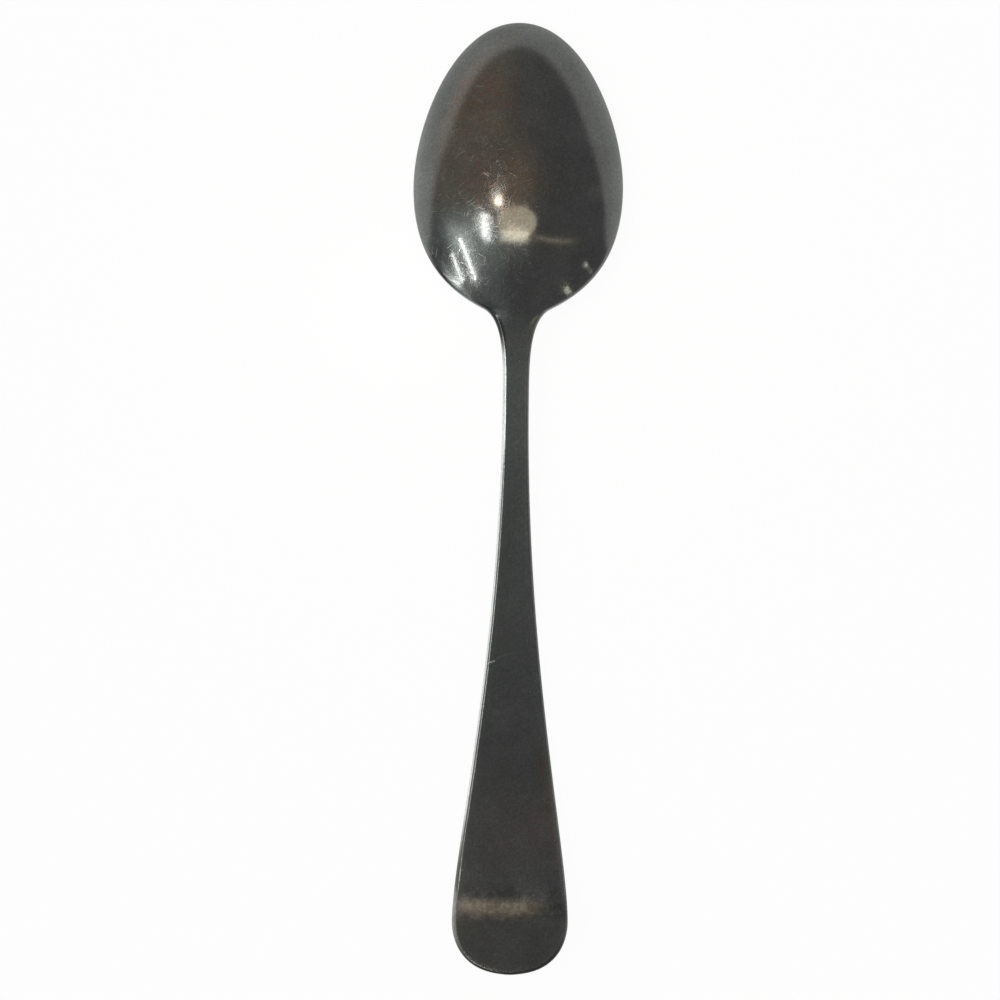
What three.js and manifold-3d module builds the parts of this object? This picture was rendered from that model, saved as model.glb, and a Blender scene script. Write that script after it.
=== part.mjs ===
import * as THREE from 'three';
import { mergeVertices } from 'three/addons/utils/BufferGeometryUtils.js';
import Module from 'manifold-3d';

// A dessert spoon lying face down: a dished bowl and a forged handle, brazed together at the neck.
// Sizes are in millimetres. +Y runs towards the bowl's tip, +Z is up and the table is at z = 0.
// Places along the spoon are distances from the bowl's tip, and half widths go out to each side.

// Overall length, from the bowl's tip to the handle's end
const overallLength = 175;

// Bowl in plan
const bowlWidth = 38.7;
const bowlWidest = 31;
const bowlLength = 53.6;
const waistWidth = 12.3;
const waistSlope = 2;

// Bowl in depth: the height of its back over the face, its wall, its rim and the flat land round its mouth
const bowlHeight = 10.4;
const bowlDeepest = 33;
const bowlWall = 1.3;
const rimThickness = 1.1;
const rimRounding = 0.45;
const rimLand = 1.2;
const heelLand = 1.1;
const heelRunOut = 5;

// Handle in plan: the flare of the neck, the stem, the broad blade and its rounded end
const neckLength = 16.9;
const stemWidth = 4.8;
const bladeWidth = 21.3;
const endRounding = 9;

// Handle in thickness, with the rounding of its edges
const stemThickness = 3.4;
const bladeThickness = 1.8;
const bladeCrown = 0.3;
const edgeRounding = 0.8;

// Side view of the face: it climbs from the bowl's tip to the neck, falls along the stem to a flat crest
// that rests on the table, climbs again along the blade and turns up more steeply near the end
const neckBend = 57;
const neckRise = 5;
const neckEasing = 3.6;
const crestFromEnd = 60;
const crestFlat = 6;
const bladeRise = 5.5;
const turnFromEnd = 22.4;
const turnLength = 17.8;
const turnSlope = 0.23;

// Scarf joint at the neck: it slants from the face to the back, with a film of braze between
const scarfFromBowl = 4.4;
const scarfLength = 8;
const brazeFilm = 0.15;

// Fullness of the outline's curves, as shares of the stretch that each one pulls along
const tipPull = { across: 0.62, along: 0.39 };
const heelPull = { along: 0.62, waist: 0.13 };
const flarePull = { waist: 0.12, along: 0.35 };
const stemPull = { along: 0.5, blade: 0.13 };
const endPull = { along: 0.33, across: 0.85 };
const mouthPull = { along: 0.62, across: 0.6 };

// Powers of the curves in section and in side view
const domePower = 0.75;
const shoulderPower = 1.25;
const heelPower = 2;
const runOutPower = 3;
const archPower = 2.4;

// Facets: points across each side of a section, and sections along each stretch
const pointsAcross = 25;
const sections = { tip: 15, heel: 12, neck: 11, stem: 10, blade: 14, end: 10, mouth: 15 };

// Places that follow from the sizes
const neckAt = bowlLength + neckLength;
const bladeAt = overallLength - endRounding;
const crestAt = overallLength - crestFromEnd;
const crestStart = crestAt - crestFlat / 2;
const crestStop = crestAt + crestFlat / 2;
const turnAt = overallLength - turnFromEnd;
const heelEnd = bowlLength + heelRunOut;
const mouthEnd = bowlLength - heelLand;

const mix = (a, b, t) => a + (b - a) * t;
const smooth = (from, to, u) => THREE.MathUtils.smoothstep(u, from, to);

// The lesser of two heights, with a soft corner where they come within the easing of each other
function softMin(a, b, easing) {
  const nearness = Math.max(easing - Math.abs(a - b), 0) / easing;
  return Math.min(a, b) - (nearness ** 3 * easing) / 6;
}

// A curve of the plan, from one point to another, with a handle at each end
function planCurve(start, startHandle, finish, finishHandle) {
  const [from, to] = [new THREE.Vector2(...start), new THREE.Vector2(...finish)];
  const leave = from.clone().add(new THREE.Vector2(...startHandle));
  const arrive = to.clone().add(new THREE.Vector2(...finishHandle));
  return new THREE.CubicBezierCurve(from, leave, arrive, to);
}

function outlineCurves() {
  const half = { bowl: bowlWidth / 2, waist: waistWidth / 2, stem: stemWidth / 2, blade: bladeWidth / 2 };
  const heel = bowlLength - bowlWidest;
  const shank = bladeAt - neckAt;
  const intoWaist = heelPull.waist * heel;
  const outOfWaist = flarePull.waist * neckLength;
  const widest = [bowlWidest, half.bowl];
  const waist = [bowlLength, half.waist];
  const neck = [neckAt, half.stem];
  const blade = [bladeAt, half.blade];
  return [
    planCurve([0, 0], [0, tipPull.across * half.bowl], widest, [-tipPull.along * bowlWidest, 0]),
    planCurve(widest, [heelPull.along * heel, 0], waist, [-intoWaist, intoWaist * waistSlope]),
    planCurve(waist, [outOfWaist, -outOfWaist * waistSlope], neck, [-flarePull.along * neckLength, 0]),
    planCurve(neck, [stemPull.along * shank, 0], blade, [-stemPull.blade * shank, 0]),
    planCurve(blade, [endPull.along * endRounding, 0], [overallLength, 0], [0, endPull.across * half.blade]),
  ];
}

function mouthCurves() {
  const half = bowlWidth / 2 - rimLand;
  const widest = [bowlWidest, half];
  const tip = bowlWidest - rimLand;
  const heel = mouthEnd - bowlWidest;
  return [
    planCurve([rimLand, 0], [0, tipPull.across * half], widest, [-tipPull.along * tip, 0]),
    planCurve(widest, [mouthPull.along * heel, 0], [mouthEnd, 0], [0, mouthPull.across * half]),
  ];
}

// Half width of a plan outline at a place along the spoon
function halfWidth(curves, u) {
  const curve = curves.find((piece) => u <= piece.v3.x) ?? curves.at(-1);
  let [low, high] = [0, 1];
  for (let step = 0; step < 40; step += 1) {
    const middle = (low + high) / 2;
    if (curve.getPoint(middle).x < u) low = middle;
    else high = middle;
  }
  return curve.getPoint(high).y;
}

const outline = outlineCurves();
const mouth = mouthCurves();

// Height that the turn near the end adds: its slope eases in over the turn's length and then stays
function turnHeight(u) {
  const turned = THREE.MathUtils.clamp((u - turnAt) / turnLength, 0, 1);
  const past = Math.max(u - turnAt - turnLength, 0);
  return turnSlope * (turnLength * (turned ** 3 - turned ** 4 / 2) + past);
}

// Height of the face over the table, along the middle of the spoon
function faceHeight(u) {
  const toNeck = Math.max(crestStart - u, 0) / (crestStart - neckBend);
  const toEnd = Math.max(u - crestStop, 0) / (overallLength - crestStop);
  if (u > crestAt) return bladeRise * toEnd ** archPower + turnHeight(u);
  return softMin((neckRise * u) / neckBend, neckRise * toNeck ** archPower, neckEasing);
}

// Swell of the dished bowl along its length: 0 at the tip, 1 at its deepest place, 0 where the heel runs out
function swell(u, start, finish, finishPower) {
  const offset = (u - bowlDeepest) / (bowlDeepest - start);
  const run = (u - bowlDeepest) / (finish - bowlDeepest);
  if (run >= 1 || u <= start) return 0;
  if (run <= 0) return (1 - offset ** 2) ** domePower;
  return (1 + offset ** 2) ** -domePower * (1 - run ** runOutPower) ** finishPower;
}

// Share of the handle's section, against the bowl's, at a place along the spoon
const handleShare = (u) => smooth(bowlDeepest, heelEnd, u);
const handleThickness = (u) => mix(stemThickness, bladeThickness, smooth(neckAt, bladeAt, u));
const edgeThickness = (u) => mix(rimThickness, handleThickness(u), handleShare(u));

// Height of the back over the face, along the middle of the spoon
const backHeight = (u) => mix(edgeThickness(u), bowlHeight, swell(u, 0, heelEnd, heelPower));

// How much a quarter-round edge takes off, from its radius at the edge to 0 at that distance inside it
function edgeRound(distance, radius) {
  return distance >= radius ? 0 : radius - Math.sqrt(radius ** 2 - (radius - distance) ** 2);
}

// Distance from a point of the plan to the outline: straight out sideways, or to the curve that closes the
// outline at the tip and the end
function edgeDistance(u, x, half) {
  const step = 0.01;
  const ahead = Math.min(u + step, overallLength);
  const behind = Math.max(u - step, 0);
  const closing = u < bowlWidest || u > bladeAt;
  const fall = (halfWidth(outline, ahead) ** 2 - halfWidth(outline, behind) ** 2) / (ahead - behind) / 2;
  return (half ** 2 - x ** 2) / (2 * Math.hypot(x, closing ? fall : 0));
}

const place = (x, u, z) => new THREE.Vector3(x, overallLength / 2 - u, z);
const across = Array.from({ length: pointsAcross }, (_, i) => -Math.cos((Math.PI * i) / (pointsAcross - 1)));

// One closed section of the spoon before its bowl is hollowed: over the back, then along the face.
// The back swells from a plate with rounded edges, full at the bowl and with hollow flanks at the shoulders.
function blankSection(u) {
  const half = halfWidth(outline, u);
  const face = faceHeight(u);
  const plate = edgeThickness(u);
  if (u === 0 || u === overallLength) return [place(0, u, face + plate / 2)];
  const rounding = mix(rimRounding, edgeRounding, handleShare(u));
  const rounded = (s) => edgeRound(edgeDistance(u, s * half, half), rounding);
  const power = mix(domePower, shoulderPower, smooth(bowlDeepest, bowlLength, u));
  const swollen = backHeight(u) - plate;
  const crown = bladeCrown * smooth(neckAt, bladeAt, u);
  const bulge = (s) => swollen * (1 - s ** 2) ** power + crown * (1 - s ** 2);
  const back = across.map((s) => place(s * half, u, face + plate - rounded(s) + bulge(s)));
  const front = across.map((s) => place(s * half, u, face + rounded(s)));
  return [...back, ...front.reverse()];
}

// One closed section of the bowl's hollow. Its edge lies just below the rim, so that the rim is cut clean.
function hollowSection(u) {
  const belowRim = rimRounding / 2;
  const half = halfWidth(mouth, u);
  const edge = faceHeight(u) - belowRim;
  if (u === rimLand || u === mouthEnd) return [place(0, u, edge)];
  const depth = (bowlHeight - bowlWall + belowRim) * swell(u, rimLand, mouthEnd, domePower);
  const dome = (s) => depth * (1 - s ** 2) ** domePower;
  const inside = across.map((s) => place(s * half, u, edge + dome(s)));
  const below = across.slice(1, -1).map((s) => place(s * half, u, edge - dome(s)));
  return [...inside, ...below.reverse()];
}

// Closed surface through a row of sections, whose first and last are single points
function loft(rings) {
  const triangles = [];
  let start = 0;
  rings.slice(1).forEach((ring, i) => {
    const [here, there] = [rings[i].length, ring.length];
    for (let k = 0; k < Math.max(here, there); k += 1) {
      const [a, b] = [start + (k % here), start + ((k + 1) % here)];
      const [c, d] = [start + here + (k % there), start + here + ((k + 1) % there)];
      if (here > 1) triangles.push(a, c, b);
      if (there > 1) triangles.push(b, c, d);
    }
    start += here;
  });
  const geometry = new THREE.BufferGeometry().setFromPoints(rings.flat());
  geometry.setIndex(triangles);
  return geometry;
}

// Places along a stretch, evenly spaced, or closing up towards its start or its finish
const evenly = (t) => t;
const closingAtStart = (t) => 1 - Math.cos((t * Math.PI) / 2);
const closingAtFinish = (t) => Math.sin((t * Math.PI) / 2);
function places(from, to, count, spacing) {
  return Array.from({ length: count }, (_, i) => mix(from, to, spacing((i + 1) / count)));
}

const blankPlaces = [
  0,
  ...places(0, bowlWidest, sections.tip, closingAtStart),
  ...places(bowlWidest, bowlLength, sections.heel, evenly),
  ...places(bowlLength, neckAt, sections.neck, evenly),
  ...places(neckAt, crestStart, sections.stem, evenly),
  ...places(crestStart, crestStop, 1, evenly),
  ...places(crestStop, bladeAt, sections.blade, evenly),
  ...places(bladeAt, overallLength, sections.end, closingAtFinish),
];
const hollowPlaces = [
  rimLand,
  ...places(rimLand, bowlWidest, sections.mouth, closingAtStart),
  ...places(bowlWidest, mouthEnd, sections.mouth, closingAtFinish),
];

const wasm = await Module();
wasm.setup();

function solid(geometry) {
  geometry.deleteAttribute('normal');
  geometry.deleteAttribute('uv');
  const merged = mergeVertices(geometry);
  const vertProperties = new Float32Array(merged.getAttribute('position').array);
  const triVerts = new Uint32Array(merged.getIndex().array);
  return new wasm.Manifold(new wasm.Mesh({ numProp: 3, vertProperties, triVerts }));
}

function geometryOf(body) {
  const { vertProperties, triVerts } = body.getMesh();
  const geometry = new THREE.BufferGeometry();
  geometry.setAttribute('position', new THREE.BufferAttribute(new Float32Array(vertProperties), 3));
  geometry.setIndex(new THREE.BufferAttribute(new Uint32Array(triVerts), 1));
  geometry.computeVertexNormals();
  return geometry;
}

// The scarf's plane leaves the face on the bowl's side of the neck and reaches the back on the stem's side
const scarfFace = bowlLength + scarfFromBowl;
const scarfBack = scarfFace + scarfLength;
const onFace = place(0, scarfFace, faceHeight(scarfFace));
const onBack = place(0, scarfBack, faceHeight(scarfBack) + backHeight(scarfBack));
const scarfTilt = Math.atan2(onBack.z - onFace.z, onBack.y - onFace.y);

// A block on the handle's side of the scarf, its near face set off from the scarf's middle
function handleSide(setOff) {
  const size = 2 * overallLength;
  const block = new THREE.BoxGeometry(size, size, size).translate(0, 0, size / 2 + setOff);
  block.rotateX(scarfTilt);
  const middle = onFace.clone().lerp(onBack, 0.5);
  return block.translate(middle.x, middle.y, middle.z);
}

const blank = solid(loft(blankPlaces.map(blankSection)));
const spoon = blank.subtract(solid(loft(hollowPlaces.map(hollowSection))));

const metal = { color: '#4b4d4a', roughness: 0.34, metalness: 0.95 };
const filler = { color: '#6d6856', roughness: 0.4, metalness: 0.95 };

function piece(name, body, finish) {
  const mesh = new THREE.Mesh(geometryOf(body), new THREE.MeshStandardMaterial(finish));
  mesh.name = name;
  return mesh;
}

const pastFilm = solid(handleSide(brazeFilm / 2));
const pastBowl = solid(handleSide(-brazeFilm / 2));

const group = new THREE.Group();
group.add(piece('bowl', spoon.subtract(pastBowl), metal));
group.add(piece('braze_seam', spoon.intersect(pastBowl).subtract(pastFilm), filler));
group.add(piece('handle', spoon.intersect(pastFilm), metal));

export default group;
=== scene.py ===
"""A tarnished dessert spoon lying face down on a white table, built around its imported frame."""

import math
from types import SimpleNamespace

import bmesh
import bpy
from bpy.props import FloatProperty, FloatVectorProperty, PointerProperty
from bpy.types import Operator, Panel, PropertyGroup
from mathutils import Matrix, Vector


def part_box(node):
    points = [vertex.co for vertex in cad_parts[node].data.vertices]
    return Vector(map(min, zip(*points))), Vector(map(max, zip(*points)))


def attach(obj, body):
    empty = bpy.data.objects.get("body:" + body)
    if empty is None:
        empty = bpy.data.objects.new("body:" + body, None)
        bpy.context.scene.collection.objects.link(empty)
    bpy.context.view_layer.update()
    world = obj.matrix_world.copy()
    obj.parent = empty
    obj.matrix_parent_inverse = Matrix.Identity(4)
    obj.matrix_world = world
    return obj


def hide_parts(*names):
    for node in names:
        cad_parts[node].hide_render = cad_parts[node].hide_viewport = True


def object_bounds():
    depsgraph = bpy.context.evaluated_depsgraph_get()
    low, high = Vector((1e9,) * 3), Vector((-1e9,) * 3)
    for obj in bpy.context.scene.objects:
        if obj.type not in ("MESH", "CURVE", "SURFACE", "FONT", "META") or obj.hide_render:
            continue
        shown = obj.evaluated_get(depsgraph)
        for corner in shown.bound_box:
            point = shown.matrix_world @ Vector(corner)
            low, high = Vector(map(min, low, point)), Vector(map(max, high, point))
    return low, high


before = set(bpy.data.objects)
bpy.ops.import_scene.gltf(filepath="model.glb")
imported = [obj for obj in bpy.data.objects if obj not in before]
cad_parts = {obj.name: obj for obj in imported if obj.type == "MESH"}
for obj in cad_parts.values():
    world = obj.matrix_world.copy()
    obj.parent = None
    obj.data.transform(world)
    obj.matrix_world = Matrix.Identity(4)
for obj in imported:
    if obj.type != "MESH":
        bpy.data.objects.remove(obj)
CAD_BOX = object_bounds()
CAD_LENGTH = CAD_BOX[1].y - CAD_BOX[0].y

bl_info = {
    "name": "Dessert Spoon",
    "version": (1, 0, 0),
    "blender": (4, 5, 0),
    "location": "View3D > Sidebar > Spoon",
    "description": "Makes a tarnished dessert spoon around its packed frame, on a table in soft light",
    "category": "Add Mesh",
}

MM = 0.001

# Fullness of the outline's curves, as shares of the stretch that each one pulls along
TIP_PULL = SimpleNamespace(across=0.62, along=0.39)
HEEL_PULL = SimpleNamespace(along=0.62, waist=0.13)
FLARE_PULL = SimpleNamespace(waist=0.12, along=0.35)
STEM_PULL = SimpleNamespace(along=0.5, blade=0.13)
END_PULL = SimpleNamespace(along=0.33, across=0.85)
MOUTH_PULL = SimpleNamespace(along=0.62, across=0.6)

# Slope of the outline at the waist, and slope that the turn near the handle's end adds to its side view
WAIST_SLOPE = 2
TURN_SLOPE = 0.23

# Powers of the curves in section and in side view
DOME_POWER = 0.75
SHOULDER_POWER = 1.25
HEEL_POWER = 2
RUN_OUT_POWER = 3
ARCH_POWER = 2.4

# Rows of the surface along each stretch of the outline, and points right round each row
ROWS = {"tip": 96, "heel": 80, "neck": 64, "shank": 104, "end": 56}
POINTS_ROUND = 240
LAND_POINTS = POINTS_ROUND // 8

# Least length and slope that count, and how far from a cut a point counts as on it
LEAST = 1e-7
CUT_SLACK = 1e-8

# Thickness of the braze film in the neck's joint
FILM = 0.15 * MM

# Factors that lay a point flat in plan
IN_PLAN = (1, 1, 0)

# Noise in the tarnish: the size of its patches in millimetres, and its detail
NOISES = {"cloud": (6, 5), "mottle": (1.1, 4), "grain": (0.4, 3), "dust": (0.11, 2)}

# Soft noise that bends the scratches: the size of its patches and how far it moves a point, in millimetres
SWIRL = SimpleNamespace(size=9, reach=5, detail=2)

# Scratches, hairlines and specks: length and width in millimetres, and the share of places that hold one
SCRATCH = (1.8, 0.1, 0.13)
HAIRLINE = (4, 0.05, 0.25)
SPECK = (0.15, 0.15, 0.08)
SCRATCH_ANGLES = (17, 64, 103, 151)
HAIRLINE_ANGLES = (24, 71, 112, 158)
SCRATCH_FADE = (0.1, 0.26)

# How much the marks show on smooth metal, and how much more where it is worn
SCRATCHED = SimpleNamespace(smooth=0.1, worn=0.9)
HAIRED = SimpleNamespace(smooth=0.25, worn=0.6)
SPECKLED = 0.6

# Single scratches on the back: their ends in plan, in millimetres, and how bright they are
STROKES = [
    ((-4.1, -31.5), (-3, -31), 0.9),
    ((-4.9, -31.9), (1.3, -28.8), 0.25),
    ((-6.1, 57.3), (-5.2, 56.85), 0.9),
    ((-10.9, 62.2), (-9.8, 62.75), 0.4),
    ((-4.1, 62.2), (-2.9, 62.1), 0.5),
    ((-8, 74.4), (-6.2, 74.9), 0.4),
    ((-7.4, 72.1), (-6.8, 71.7), 0.4),
]
STROKE_WIDTH = 0.22

# Places in plan, in millimetres, with their reach and strength: brown stains, wear by scratches, metal worn
# bright by rubbing together with a painted glint and painted sheen, metal that stayed smooth, and edges
# darkened with painted shade that dims their reflections
BROWN_PLACES = {
    (-6, 73): (9, 0.8),
    (-7, 64): (16, 0.5),
    (2, 57): (8, 0.6),
    (-5, 55): (9, 0.5),
    (9, -62): (9, 0.5),
    (0, -62): (11, 0.4),
}
WORN_PLACES = {(-10, 44): (15, 0.8), (-8, 60): (15, 0.5), (3, 40): (9, 0.4), (2, 56): (8, 0.35)}
RUBBED_AND_PAINTED_GLINT_PLACES = {
    (-1, 17): (13, 0.1),
    (0, 12): (34, 0.02),
    (12.5, 68): (6, 0.04),
    (13.7, 55): (2.5, 0.1),
    # Painted sheen: lighter metal that stands in for the haze of light below the left slats
    (-10, 47): (7, 0.06),
    # Painted glint: a bright dot of metal where a lamp's streak crosses the right shoulder
    (12.3, 41.85): (0.9, 0.6),
}
SMOOTH_PLACES = {(-12, 41.5): (6, 0.7)}
# Painted shade: darker colour at these edges dims the reflections of the lamps there
PAINTED_SHADE_PLACES = {(-13.2, 40.4): (5, 0.7), (-3.6, 31.5): (7, 0.7)}

# Share of a place's reach within which it has its full strength
PLACE_CORE = 0.2

# The groups below hold eases over a distance from the edge, over a place along or across the spoon, both in
# millimetres, or over a noise: two limits, and the values at them where they aren't 0 and 1. A pair of eases
# is a rise and a fall.

# Brown tarnish: by mottling, inside the edge, and along the blade's right side
BROWNED = SimpleNamespace(
    mottle=(0.3, 0.62),
    inside=(1.5, 5),
    everywhere=0.08,
    side=((0.5, 1), (2, 3.5)),
    side_along=((-72, -64), (-50, -44)),
)

# Metal worn bright by rubbing along the edge and in a line inside the bowl's edge; a painted highlight on
# the bowl's left side, and a painted reflection line inside the blade's right edge
RUBBED_AND_PAINTED_BRIGHT = SimpleNamespace(
    edge=(0, 3, 0.05, 0),
    painted_left_highlight=(-19, -14, 0.15, 0),
    painted_left_highlight_rim=(3, 6, 1, 0),
    bowl_line=((0.25, 0.5), (0.7, 1)),
    bowl_line_from=30,
    bowl_line_bright=0.06,
    painted_blade_reflection=((0.35, 0.6), (0.8, 1.1)),
    painted_blade_reflection_from=(-44, -52),
    painted_blade_reflection_bright=0.1,
)

# Painted highlight on the handle's left edge and the corner at its end, where they face up: bare-metal
# colour on the side the bright light comes from
PAINTED_EDGE_HIGHLIGHT = SimpleNamespace(
    width=(0, 12, 0.4, 0.7),
    fade=(0.7, 1, 1, 0),
    along=((-70, -54), (22, 30)),
    corner_fade=(0.6, 0.95, 0.3, 0),
    corner_along=((-86, -80), (-76, -71)),
    facing=(0.1, 0.4),
)

# Haze that blurs the reflections: fine dust, mottling where worn, marks, and the edge away from the heel
HAZE = SimpleNamespace(
    dust=(0.42, 0.62),
    dust_smooth=0.13,
    dust_worn=0.35,
    mottle=(0.45, 0.7),
    mottle_worn=0.3,
    scratches=0.7,
    hairlines=0.5,
    edge=(0.3, 1.1, 0.8, 0),
    heel_at=38,
    from_heel=(8, 16, 0.25, 1),
)

# Lightness of the metal: by clouds and grain, with painted shade at some edges and at the handle's end, and
# with spots where the end turns up
TONE = SimpleNamespace(
    cloud=(0.3, 0.7, 0.93, 1.07),
    grain=(0.25, 0.75, 0.84, 1.16),
    painted_shade_edge=(0.8, 2, 1, 0),
    end_painted_shade=(0.5, 1, 0.5, 0),
    end_along=(-80, -85),
    turn_along=((-80, -77), (-74, -71)),
    spots=(0.35, 0.65),
    spots_middle=0.9,
    spots_contrast=0.35,
)

# Stretches of the handle along which it grows lighter or darker, as painted light and shade that follow its
# reflections: from, to and the change
HANDLE_PAINTED_SHADING = ((-20, -35, 0.93), (-48, -61, 1.17), (-70, -80, 0.8))

# Share of bright metal in a scratch and in a hairline, and roughness that clouds add or take
BARED = SimpleNamespace(scratches=0.6, hairlines=0.2)
CLOUD_ROUGHNESS = 0.04

# Depth of a scratch, and the depths of hairlines and grain as shares of it
GROOVE = SimpleNamespace(depth=0.0045 * MM, hairlines=0.35, grain=0.05)

# Half the table's side in metres, and how much light its own surface gives back
TABLE_REACH = 3
TABLE_GREY = 0.9

# Soft boxes of the studio, by how far their middles tilt from straight above to the right and to the bowl's
# end, in degrees, with half their size, the softness of their edges, their turn and their light
SOFT_BOXES = {
    "spot": ((-16.2, 13.5), (2.7, 2.1), (0.6, 0.6), 0, (20, 19, 16.5)),
    "near window": ((-29.5, -7.7), (3, 11.2), (1.2, 1), -7, (11, 11.2, 11)),
    "window haze": ((-54, -28), (5, 9), (10, 12), 0, (1.1, 1.17, 1.14)),
    "window glow": ((-46, -18), (6, 8), (34, 34), 0, (0.4, 0.47, 0.46)),
    "upper glow": ((0, 52), (14, 8), (25, 20), 0, (0.06, 0.05, 0.04)),
    "ceiling glow": ((-10, -19), (14, 8), (24, 11), 0, (0.08, 0.09, 0.09)),
    "warm wall": ((-50, 45), (16, 20), (40, 40), 0, (0.22, 0.17, 0.11)),
    "shelf": ((33, -19), (8, 0.8), (24, 1.4), -18, (0.94, 0.78, 0.51)),
}

# Heights over the horizon between which the soft boxes fade in, in degrees
CLEAR_OF_TABLE = (2, 12)

# Bright wall low round the table. In degrees: the way to its high part, half the width of that part, the
# width over which its top falls away, the top's heights there and elsewhere, and the softness of the top.
# Then its light at the top and at the bottom, the share of it on the right, and where that share sets in, by
# the cosine of the way
FAR_WALL = SimpleNamespace(
    way=91,
    half=50,
    fade=60,
    top=21,
    lowest=6,
    soft=(-4, 3),
    high=0.57,
    low=0.68,
    right=0.81,
    rightward=(0.2, 0.9),
)

# Small soft boxes close to the spoon: the shape, the middle and the size in millimetres, the angle they are
# turned by, the colour and the light
NEAR_BOXES = {
    "warm_box": ("ELLIPSE", (-1, 47, 60), (37, 28), 0, (1, 0.84, 0.62), 2.2),
    "warm_edge": ("RECTANGLE", (-4, 35.4, 59), (29, 10), 0, (1, 0.92, 0.76), 2.8),
    "slat": ("RECTANGLE", (-21.7, 35.5, 20), (14.1, 1.4), -67.4, (1, 1, 1), 20),
    "low_slat": ("RECTANGLE", (-30.6, 30.9, 20), (11, 0.9), -43, (1, 1, 1), 25),
    "right_lamp": ("ELLIPSE", (24, 25.5, 20), (2.7, 0.65), 42, (1, 0.93, 0.82), 10),
    "right_glint": ("ELLIPSE", (39.2, 31.1, 20), (3.2, 0.4), -2, (1, 0.96, 0.9), 5),
    "end_strip": ("RECTANGLE", (-10.5, 22.3, 210), (49, 20), 0, (1, 0.78, 0.55), 1.26),
    "end_strip_tail": ("RECTANGLE", (19.6, 22.3, 210), (11.2, 20), 0, (1, 0.78, 0.55), 0.26),
}

# Wide warm lamp over the bowl: its middle and size in millimetres, its tilt to the handle and half its
# spread in degrees, its colour, and its light along its axis
WARM_GLOW = SimpleNamespace(
    place=(0, 73, 60),
    size=(60, 50),
    tilt=20,
    half_spread=17,
    tint=(1, 0.69, 0.385),
    radiance=0.36,
)

# Camera over the table: its place in plan, its turn, its lens in millimetres and the least distance it sees
CAMERA_PLACE = (-2.7 * MM, -1.15 * MM)
CAMERA_TURN = math.radians(0.67)
CAMERA_LENS = 87.1
CAMERA_NEAREST = 0.01


def length(name, description, size):
    """A length property with a default in metres."""
    return FloatProperty(
        name=name,
        description=description,
        default=size,
        min=0,
        precision=5,
        subtype="DISTANCE",
        unit="LENGTH",
    )


def colour(name, description, value):
    """A colour property with a linear default."""
    return FloatVectorProperty(
        name=name, description=description, default=value, size=3, min=0, max=1, subtype="COLOR"
    )


def share(name, description, value):
    """A property from 0 to 1."""
    return FloatProperty(name=name, description=description, default=value, min=0, max=1, subtype="FACTOR")


def span(node, axis):
    """Size of a node of the frame along one axis."""
    low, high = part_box(node)
    return high[axis] - low[axis]


class SpoonSizes(PropertyGroup):
    """Sizes of the spoon"""

    overall_length: length("Overall length", "From the bowl's tip to the handle's end", CAD_LENGTH)
    bowl_width: length("Bowl width", "Across the bowl's widest place", span("bowl", 0))
    bowl_widest: length("Bowl's widest place", "From the tip to the widest place", 31 * MM)
    bowl_length: length("Bowl length", "From the tip to the waist below the bowl", 53.6 * MM)
    bowl_height: length("Bowl height", "Height of the bowl's back over its face", 10.4 * MM)
    bowl_deepest: length("Bowl's deepest place", "From the tip to the deepest place", 33 * MM)
    bowl_wall: length("Bowl wall", "Thickness of the bowl at its deepest place", 1.3 * MM)
    rim_land: length("Rim land", "Width of the flat land round the bowl's mouth", 1.2 * MM)
    rim_thickness: length("Rim thickness", "Thickness of the bowl at its rim", 1.1 * MM)
    rim_rounding: length("Rim rounding", "Radius of the rim's outer edges", 0.45 * MM)
    mouth_rounding: length("Mouth rounding", "Radius of the rim's inner edge", 0.25 * MM)
    heel_land: length("Heel land", "From the mouth to the waist, along the middle", 1.1 * MM)
    heel_run_out: length("Heel run-out", "From the waist to where the bowl's back runs out", 5 * MM)
    waist_width: length("Waist width", "Across the waist below the bowl", 12.3 * MM)
    neck_length: length("Neck length", "From the waist to the slimmest place of the stem", 16.9 * MM)
    stem_width: length("Stem width", "Across the slimmest place of the stem", 4.8 * MM)
    blade_width: length("Blade width", "Across the blade's widest place", span("handle", 0))
    end_rounding: length("End rounding", "From the blade's widest place to the end", 9 * MM)
    stem_thickness: length("Stem thickness", "Thickness of the stem", 3.4 * MM)
    blade_thickness: length("Blade thickness", "Thickness of the blade at its edges", 1.8 * MM)
    blade_crown: length("Blade crown", "Rise of the blade's back over its middle", 0.3 * MM)
    edge_rounding: length("Edge rounding", "Radius of the handle's edges", 0.8 * MM)
    neck_bend: length("Neck bend", "From the tip to the bend of the neck", 57 * MM)
    neck_rise: length("Neck rise", "Height of the face over the table at the neck, before easing", 5 * MM)
    neck_easing: length("Neck easing", "Softness of the bend of the neck", 3.6 * MM)
    crest_from_end: length("Crest from end", "From the handle's end to its crest on the table", 60 * MM)
    crest_flat: length("Crest flat", "Length of the flat crest", 6 * MM)
    blade_rise: length("Blade rise", "Height of the face at the handle's end, before its turn", 5.5 * MM)
    turn_from_end: length("Turn from end", "From the handle's end to where it starts to turn up", 22.4 * MM)
    turn_length: length("Turn length", "Length over which the end turns up", 17.8 * MM)


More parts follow.
